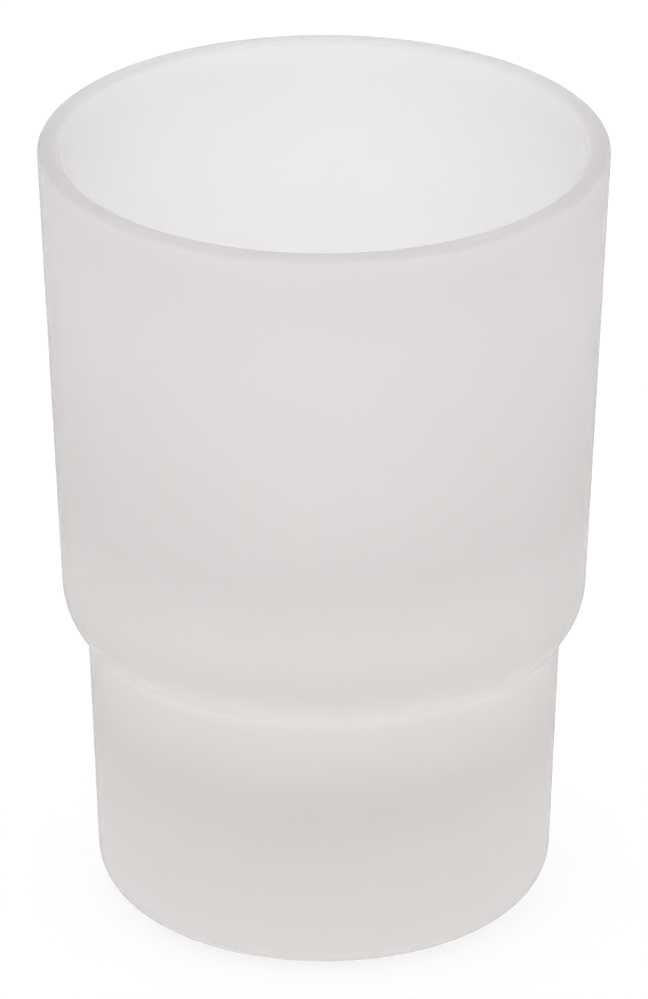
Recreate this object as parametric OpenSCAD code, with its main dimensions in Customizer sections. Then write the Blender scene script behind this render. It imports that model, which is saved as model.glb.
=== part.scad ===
// Stepped bathroom tumbler, pressed in one piece of glass and frosted all over.
// A wide upper body rolls in over a rounded shoulder to a narrower lower body,
// so that the tumbler also drops into the ring of a wall holder and hangs there.
// The origin is on the axis, in the plane that the foot ring stands on.

/* [Overall] */
// Height from the foot ring to the top of the lip
height = 99.6; // [85:0.1:130]
// Outer diameter of the upper body at the mouth
mouth_d = 70; // [66:0.1:80]

/* [Lip] */
// Thickness of the glass at the lip
lip_wall = 2.6; // [1.8:0.1:4]
// Radius of the fire-polished edge, inside and outside
lip_r = 0.75; // [0.3:0.05:0.85]

/* [Step] */
// Outer diameter where the upper body's slope would meet the step
shoulder_d = 64.6; // [62:0.1:66]
// Outer diameter where the lower body's slope would meet the step
neck_d = 58.6; // [57:0.1:61]
// Height of the lower end of the step
neck_z = 35; // [25:0.1:45]
// Height that the step takes to run from the neck to the shoulder
step_rise = 3.5; // [2:0.1:8]
// Radius of the rounded shoulder, outside
shoulder_r = 8.8; // [4.5:0.1:12]
// Radius of the hollow under the shoulder, outside
cove_r = 4.2; // [1:0.1:8]

/* [Inside] */
// Thickness of the glass at the neck, where the inside begins to widen
neck_wall = 4.4; // [2.8:0.1:5.2]
// Thickness of the glass where the inside stops widening, above the step
shoulder_wall = 4.2; // [2.8:0.1:4.8]
// Height over the neck that the inside takes to widen
in_step_rise = 20; // [6:0.5:26]
// Radius of the two soft bends where the inside begins and stops widening
in_step_r = 40; // [5:1:80]

/* [Base] */
// Outer diameter of the lower body where it would meet the ground
foot_d = 56; // [53:0.1:58]
// Radius of the rounded heel between the wall and the foot ring
heel_r = 5.6; // [1:0.1:8]
// Thickness of the wall where it runs into the floor
foot_wall = 4.2; // [2.8:0.1:5.2]
// Height of the inside floor over the ground
base_t = 15; // [6:0.1:17]
// Radius between the inside wall and the inside floor
floor_r = 12; // [3:0.5:16]
// Depth of the hollow under the base
punt_depth = 1.2; // [0.4:0.1:2.5]
// Diameter of the hollow under the base, inside the foot ring
punt_d = 39; // [28:0.1:40]
// Radius of the soft edge of that hollow
punt_r = 4; // [0.5:0.1:8]

/* [Hidden] */
// Steps of one arc of the outline
arc_steps = 14;
// Part of a straight stretch that the two arcs at its ends may take up together
arc_share = 0.98;
$fn = 180;

// Angle of the direction from point p to point q
function heading(p, q) = atan2(q.y - p.y, q.x - p.x);

// Distance between points p and q
function reach(p, q) = norm([q.x - p.x, q.y - p.y]);

// Signed turn at corner i of an outline, from -180 to 180
function turn(pts, i) =
    let (raw = heading(pts[i], pts[i + 1]) - heading(pts[i - 1], pts[i]))
    raw > 180 ? raw - 360 : raw < -180 ? raw + 360 : raw;

function at_end(pts, i) = i == 0 || i == len(pts) - 1;

// Length of wall that the whole arc at corner i would use on each side of it
function tangent(pts, i) = at_end(pts, i) ? 0 : pts[i].z * abs(tan(turn(pts, i) / 2));

// Share of the arcs at corners i and i + 1 that fits on the wall between them
function fit_share(pts, i) =
    let (needed = tangent(pts, i) + tangent(pts, i + 1))
    needed > 0 ? min(1, arc_share * reach(pts[i], pts[i + 1]) / needed) : 1;

// Points of the arc that rounds corner i, tangent to both walls; each corner is
// [distance from the axis, height, radius], and its radius is limited by its walls
function corner_arc(pts, i) =
    tangent(pts, i) == 0 ? [[pts[i].x, pts[i].y]] :
    let (
        fit = min(fit_share(pts, i - 1), fit_share(pts, i)),
        r = pts[i].z * fit,
        t = tangent(pts, i) * fit,
        a = heading(pts[i - 1], pts[i]),
        bend = turn(pts, i),
        side = sign(bend),
        start = [pts[i].x - t * cos(a), pts[i].y - t * sin(a)],
        middle = [start.x - side * r * sin(a), start.y + side * r * cos(a)]
    )
    [for (k = [0:arc_steps])
        let (b = a - side * 90 + bend * k / arc_steps)
        [middle.x + r * cos(b), middle.y + r * sin(b)]];

function rounded(pts) = [for (i = [0:len(pts) - 1]) each corner_arc(pts, i)];

// Distance from the axis at which the straight wall from p to q passes height z
function wall_x(p, q, z) = p.x + (q.x - p.x) * (z - p.y) / (q.y - p.y);

// Corners of the outside, from the axis under the base up to the lip
heel = [foot_d / 2, 0];
neck = [neck_d / 2, neck_z];
shoulder = [shoulder_d / 2, neck_z + step_rise];
mouth = [mouth_d / 2, height];

// Corners of the inside: the step is a long soft slope there, as the plunger that
// presses the glass has to draw out, and the wall thickens from the lip downwards
in_shoulder_z = neck_z + in_step_rise;
in_mouth = [mouth.x - lip_wall, height];
in_shoulder = [wall_x(shoulder, mouth, in_shoulder_z) - shoulder_wall, in_shoulder_z];
in_neck = [neck.x - neck_wall, neck_z];
in_floor = [wall_x(heel, neck, base_t) - foot_wall, base_t];

outline = [
    [0, punt_depth, 0],
    [punt_d / 2 - punt_r, punt_depth, punt_r],
    [punt_d / 2, 0, punt_r],
    [heel.x, heel.y, heel_r],
    [neck.x, neck.y, cove_r],
    [shoulder.x, shoulder.y, shoulder_r],
    [mouth.x, mouth.y, lip_r],
    [in_mouth.x, in_mouth.y, lip_r],
    [in_shoulder.x, in_shoulder.y, in_step_r],
    [in_neck.x, in_neck.y, in_step_r],
    [in_floor.x, in_floor.y, floor_r],
    [0, base_t, 0]
];

// The whole tumbler: outside, lip and inside are one outline, turned on the axis
module tumbler() {
    color([0.88, 0.87, 0.86])
    rotate_extrude() polygon(rounded(outline));
}

tumbler();
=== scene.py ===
"""A stepped bathroom tumbler in satin-frosted glass, standing on a pale floor."""
from math import cos, pi, radians, sin

import bpy
import numpy as np
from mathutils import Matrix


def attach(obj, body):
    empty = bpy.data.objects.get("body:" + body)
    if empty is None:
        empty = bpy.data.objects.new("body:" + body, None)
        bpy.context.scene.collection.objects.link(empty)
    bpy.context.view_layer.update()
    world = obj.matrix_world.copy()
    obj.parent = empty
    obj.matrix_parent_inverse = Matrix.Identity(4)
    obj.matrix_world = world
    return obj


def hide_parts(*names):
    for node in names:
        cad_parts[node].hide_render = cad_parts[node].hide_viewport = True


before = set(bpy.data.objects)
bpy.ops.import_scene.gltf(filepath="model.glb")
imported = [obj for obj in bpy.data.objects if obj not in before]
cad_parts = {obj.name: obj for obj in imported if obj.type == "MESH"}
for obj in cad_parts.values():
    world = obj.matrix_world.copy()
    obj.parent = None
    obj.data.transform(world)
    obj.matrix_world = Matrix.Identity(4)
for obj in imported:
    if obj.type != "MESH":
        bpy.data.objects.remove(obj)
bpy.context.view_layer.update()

# The tumbler is one piece of pressed glass, frosted in acid inside and outside. Its wide upper body
# rolls in over a rounded shoulder to a narrower lower body, which ends in a thick base on a foot ring.
# It is made as a surface of revolution: one closed outline of straight walls and tangent arcs.
MM = 0.001
height, mouth_d = 99.6, 70.0
lip_wall, lip_r = 2.6, 0.75
shoulder_d, neck_d, neck_z, step_rise = 64.6, 58.6, 35.0, 3.5
shoulder_r, cove_r = 8.8, 4.2
neck_wall, shoulder_wall = 4.4, 4.2
in_step_rise, in_step_r = 20.0, 40.0
foot_d, heel_r, foot_wall = 56.0, 5.6, 4.2
base_t, floor_r = 15.0, 12.0
punt_depth, punt_d, punt_r = 1.2, 39.0, 4.0


def glass_corners():
    """Corners of the glass as rows of (distance from the axis, height, radius of the arc there).

    They run from the axis under the base, out over the foot ring, up the outside, over the lip and down
    the inside to the axis. The inside narrows in a longer and softer slope than the step outside it.
    """
    heel, neck = np.array([foot_d / 2, 0]), np.array([neck_d / 2, neck_z])
    shoulder, mouth = np.array([shoulder_d / 2, neck_z + step_rise]), np.array([mouth_d / 2, height])
    in_shoulder_z = neck_z + in_step_rise
    upper_wall_x = np.interp(in_shoulder_z, [shoulder[1], mouth[1]], [shoulder[0], mouth[0]])
    lower_wall_x = np.interp(base_t, [heel[1], neck[1]], [heel[0], neck[0]])
    return np.array([
        [0, punt_depth, 0],
        [punt_d / 2 - punt_r, punt_depth, punt_r],
        [punt_d / 2, 0, punt_r],
        [*heel, heel_r],
        [*neck, cove_r],
        [*shoulder, shoulder_r],
        [*mouth, lip_r],
        [mouth[0] - lip_wall, height, lip_r],
        [upper_wall_x - shoulder_wall, in_shoulder_z, in_step_r],
        [neck[0] - neck_wall, neck_z, in_step_r],
        [lower_wall_x - foot_wall, base_t, floor_r],
        [0, base_t, 0],
    ])


def glass_outline(corners, arc_steps=16, wall_step=1.4):
    """The outline's points. An arc of radius r starts r tan(turn / 2) before its corner and is tangent to
    both walls; straight stretches get points at most wall_step apart, so that the shading stays even."""
    points, radius = corners[:, :2], corners[:, 2]
    along = np.diff(points, axis=0)
    angle = np.arctan2(along[:, 1], along[:, 0])
    turn = (np.diff(angle) + pi) % (2 * pi) - pi
    line = [points[0]]
    for corner, r, a, bend in zip(points[1:-1], radius[1:-1], angle[:-1], turn):
        side = np.sign(bend)
        start = corner - r * abs(np.tan(bend / 2)) * np.array([cos(a), sin(a)])
        middle = start + side * r * np.array([-sin(a), cos(a)])
        b = a - side * pi / 2 + bend * np.linspace(0, 1, arc_steps + 1)
        line.extend(middle + r * np.stack([np.cos(b), np.sin(b)], axis=1))
    line = np.array(line + [points[-1]])
    gaps = np.linalg.norm(np.diff(line, axis=0), axis=1)
    counts = np.maximum(1, np.ceil(gaps / wall_step)).astype(int)
    whole = np.repeat(np.arange(len(counts)), counts)
    part = (np.arange(counts.sum()) - np.repeat(np.cumsum(counts) - counts, counts)) / counts[whole]
    filled = line[whole] + part[:, None] * (line[whole + 1] - line[whole])
    return np.vstack([filled, line[-1]])


def turned_mesh(name, outline, around):
    """The surface (r cos v, r sin v, z) for the outline's points (r, z) and v round the axis, in metres.
    Its first and last points lie on the axis and become poles, so that the surface is closed."""
    v = np.linspace(0, 2 * pi, around, endpoint=False)
    r, z = outline[1:-1, :1] * MM, outline[1:-1, 1:] * MM
    rings = np.stack([r * np.cos(v), r * np.sin(v), z + 0 * v], axis=2).reshape(-1, 3)
    poles = np.array([[0, 0, outline[0, 1]], [0, 0, outline[-1, 1]]]) * MM
    ring, k = np.arange(len(r)) * around, np.arange(around)
    nxt = (k + 1) % around
    lower, upper = ring[:-1, None], ring[1:, None]
    quads = np.stack([lower + k, lower + nxt, upper + nxt, upper + k], axis=2).reshape(-1, 4)
    under, over = len(rings), len(rings) + 1
    fans = np.vstack([
        np.stack([np.full(around, under), nxt, k], axis=1),
        np.stack([np.full(around, over), ring[-1] + k, ring[-1] + nxt], axis=1),
    ])
    mesh = bpy.data.meshes.new(name)
    mesh.from_pydata(np.vstack([rings, poles]).tolist(), [], quads.tolist() + fans.tolist())
    mesh.shade_smooth()
    piece = bpy.data.objects.new(name, mesh)
    bpy.context.scene.collection.objects.link(piece)
    return piece


def add_node(tree, kind, inputs=None, **settings):
    """Adds a node of that kind to the tree; inputs gives its values, or the outputs that feed it."""
    node = tree.nodes.new(kind)
    for name, value in settings.items():
        setattr(node, name, value)
    for socket, value in (inputs or {}).items():
        if isinstance(value, bpy.types.NodeSocket):
            tree.links.new(value, node.inputs[socket])
        else:
            node.inputs[socket].default_value = value
    return node


# Each row is a height in mm and the share of the light that two etched faces pass there together, one on
# the way in and one on the way out. Besides the glass's own even loss, the rows paint light and shade into
# its colour in bands all round it. There is painted light at the heel and at the neck's cove. There is
# painted shade over the inside's floor, where the shaded table under the base shows through, and on the
# shoulder's roll. The glass is also darker at the top of the inside's slope and under the lip.
levels_with_painted_light_and_shade = [
    (heel_r, 0.95),
    (base_t, 0.90),
    (base_t + 8, 0.89),
    (neck_z, 0.97),
    (neck_z + 5, 0.89),
    (neck_z + 8, 0.94),
    (neck_z + in_step_rise, 0.88),
    (height - 30, 0.92),
    (height - 15, 0.93),
    (height - 4, 0.90),
    (height, 0.93),
]

# What passes is a little warm. Soft clouds in the etch, about 13 mm across, make it rougher where the acid
# bit deeper, dim it slightly, and carry the levels up and down by less than a millimetre. The grain of the
# satin is a quarter of a millimetre across. The last 2 mm up to the lip were fire-polished.
warmth = np.array([0.009, 0.0, -0.003])
clouds_per_m, cloud_low, cloud_high = 75.0, 0.3, 0.7
cloud_sway, cloud_haze = 1.5, 0.004
grains_per_m, grain_height = 4500.0, 0.004
etch_rough_low, etch_rough_high = 0.71, 0.75
polish_start, polish_full, lip_polish = 2.2, 0.5, 0.9
glass_ior = 1.5
absorbed_tint, absorbed_per_m = (0.56, 0.50, 0.48, 1), 7.0


def frosted_glass():
    """Clear glass, satin-etched on both faces: light passes it and is scattered wide at each face.

    The colour is the level of the glass's loss with its painted light and shade bands at the height
    z + cloud_sway * (cloud - 1/2), times 1 - cloud_haze to 1 + cloud_haze. The roughness runs with the
    clouds and falls to lip_polish of that at the lip.
    """
    mat = bpy.data.materials.new("frosted_glass")
    mat.use_nodes = True
    tree = mat.node_tree
    shader = tree.nodes["Principled BSDF"]
    shader.inputs["Transmission Weight"].default_value = 1.0
    shader.inputs["IOR"].default_value = glass_ior
    place = add_node(tree, "ShaderNodeTexCoord").outputs["Object"]
    z = add_node(tree, "ShaderNodeSeparateXYZ", {"Vector": place}).outputs["Z"]
    clouds = add_node(tree, "ShaderNodeTexNoise", {"Vector": place, "Scale": clouds_per_m, "Detail": 3.0})
    cloud = clouds.outputs["Fac"]
    wavy_z = add_node(tree, "ShaderNodeMath", {0: cloud, 1: cloud_sway * MM, 2: z},
        operation="MULTIPLY_ADD")
    share = add_node(tree, "ShaderNodeMapRange", {"Value": wavy_z.outputs[0],
        "From Min": cloud_sway / 2 * MM, "From Max": (height + cloud_sway / 2) * MM})
    # This ramp paints light and shade into the glass's colour in bands by height: brighter at the heel and
    # the cove, painted shade over the inside's floor, on the shoulder's roll and under the lip.
    tint_and_painted_shading_ramp = add_node(tree, "ShaderNodeValToRGB", {"Fac": share.outputs[0]})
    stops = tint_and_painted_shading_ramp.color_ramp.elements
    stops[0].position, stops[1].position = levels_with_painted_light_and_shade[0][0] / height, levels_with_painted_light_and_shade[-1][0] / height
    for level, _ in levels_with_painted_light_and_shade[1:-1]:
        stops.new(level / height)
    for stop, (_, light) in zip(stops, levels_with_painted_light_and_shade):
        stop.color = (*(light + warmth), 1)
    haze = add_node(tree, "ShaderNodeMapRange", {"Value": cloud, "From Min": cloud_low,
        "From Max": cloud_high, "To Min": 1 + cloud_haze, "To Max": 1 - cloud_haze})
    tint = add_node(tree, "ShaderNodeVectorMath", {0: tint_and_painted_shading_ramp.outputs["Color"], "Scale": haze.outputs[0]},
        operation="SCALE")
    tree.links.new(tint.outputs[0], shader.inputs["Base Color"])
    etch = add_node(tree, "ShaderNodeMapRange", {"Value": cloud, "From Min": cloud_low,
        "From Max": cloud_high, "To Min": etch_rough_low, "To Max": etch_rough_high})
    polish = add_node(tree, "ShaderNodeMapRange", {"Value": z, "From Min": (height - polish_start) * MM,
        "From Max": (height - polish_full) * MM, "To Min": 1.0, "To Max": lip_polish},
        interpolation_type="SMOOTHSTEP")
    rough = add_node(tree, "ShaderNodeMath", {0: etch.outputs[0], 1: polish.outputs[0]},
        operation="MULTIPLY")
    tree.links.new(rough.outputs[0], shader.inputs["Roughness"])
    grain = add_node(tree, "ShaderNodeTexNoise", {"Vector": place, "Scale": grains_per_m, "Detail": 2.0})
    relief = add_node(tree, "ShaderNodeBump", {"Height": grain.outputs["Fac"], "Strength": 1.0,
        "Distance": grain_height * MM})
    tree.links.new(relief.outputs[0], shader.inputs["Normal"])
    depth = add_node(tree, "ShaderNodeVolumeAbsorption", {"Color": absorbed_tint,
        "Density": absorbed_per_m})
    tree.links.new(depth.outputs[0], tree.nodes["Material Output"].inputs["Volume"])
    return mat


tumbler = turned_mesh("tumbler_glass", glass_outline(glass_corners()), around=240)
tumbler.data.materials.append(frosted_glass())
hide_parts("tumbler")
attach(tumbler, "root")

# The floor is a plain white table top, wide enough to fill the picture from every side. Part of its
# white is a lift that only the camera, gloss and glass see, so it stays white and keeps a soft shadow.
floor_reach = 4.0
table_grey, table_rough = 0.49, 0.9
seen_lift, camera_lift = 0.44, 0.105


def table_white():
    """Matt white, lifted by seen_lift for the rays that come straight from the camera, a reflection or
    the glass, and by camera_lift more for those from the camera."""
    mat = bpy.data.materials.new("table_white")
    mat.use_nodes = True
    mat.cycles.emission_sampling = "NONE"
    tree = mat.node_tree
    path = add_node(tree, "ShaderNodeLightPath")
    shown = add_node(tree, "ShaderNodeMath", {0: path.outputs["Is Camera Ray"],
        1: path.outputs["Is Glossy Ray"]}, operation="MAXIMUM")
    seen = add_node(tree, "ShaderNodeMath", {0: shown.outputs[0],
        1: path.outputs["Is Transmission Ray"]}, operation="MAXIMUM")
    indirect = add_node(tree, "ShaderNodeMath", {0: seen.outputs[0], 1: seen_lift}, operation="MULTIPLY")
    lift = add_node(tree, "ShaderNodeMath", {0: path.outputs["Is Camera Ray"], 1: camera_lift,
        2: indirect.outputs[0]}, operation="MULTIPLY_ADD")
    shader = tree.nodes["Principled BSDF"]
    shader.inputs["Base Color"].default_value = (table_grey, table_grey, table_grey, 1)
    shader.inputs["Roughness"].default_value = table_rough
    shader.inputs["Specular IOR Level"].default_value = 0.0
    shader.inputs["Emission Color"].default_value = (1, 1, 1, 1)
    tree.links.new(lift.outputs[0], shader.inputs["Emission Strength"])
    return mat


bpy.ops.mesh.primitive_circle_add(vertices=96, radius=floor_reach, fill_type="NGON")
floor = bpy.context.object
floor.name = "floor"
floor.data.materials.append(table_white())

# The light is a white tent: soft from all round, half as strong again at the sides as overhead, and a
# little stronger from the left. Its strength is tent_light - tent_fall * z - tent_lean * x.
tent_light, tent_fall, tent_lean = 1.31, 0.437, 0.04
tent = bpy.data.worlds.new("white_tent")
bpy.context.scene.world = tent
tent.use_nodes = True
tent.cycles.sampling_method = "NONE"
tree = tent.node_tree
direction = add_node(tree, "ShaderNodeTexCoord").outputs["Generated"]
facing = add_node(tree, "ShaderNodeSeparateXYZ", {"Vector": direction})
overhead = add_node(tree, "ShaderNodeMath", {0: facing.outputs["Z"], 1: -tent_fall, 2: tent_light},
    operation="MULTIPLY_ADD")
sideways = add_node(tree, "ShaderNodeMath", {0: facing.outputs["X"], 1: -tent_lean, 2: overhead.outputs[0]},
    operation="MULTIPLY_ADD")
tree.nodes["Background"].inputs["Color"].default_value = (1, 1, 1, 1)
tree.links.new(sideways.outputs[0], tree.nodes["Background"].inputs["Strength"])

# The camera stands 1.4 m away and looks down at the middle of the tumbler, at the photograph's angle. Its
# lens is given in pixels of the photograph's frame.
camera_pitch, camera_distance, look_height = radians(25.08), 1.4, 0.05182
focal_pixels, picture_height = 11329, 999
camera = bpy.data.objects.new("camera", bpy.data.cameras.new("camera"))
bpy.context.scene.collection.objects.link(camera)
camera_height = look_height + camera_distance * sin(camera_pitch)
camera.location = (0, -camera_distance * cos(camera_pitch), camera_height)
camera.rotation_euler = (pi / 2 - camera_pitch, 0, 0)
camera.data.sensor_fit = "VERTICAL"
camera.data.sensor_height = 24
camera.data.lens = focal_pixels / picture_height * camera.data.sensor_height
camera.data.clip_end = 20
bpy.context.scene.camera = camera
bpy.context.scene.view_settings.view_transform = "Standard"
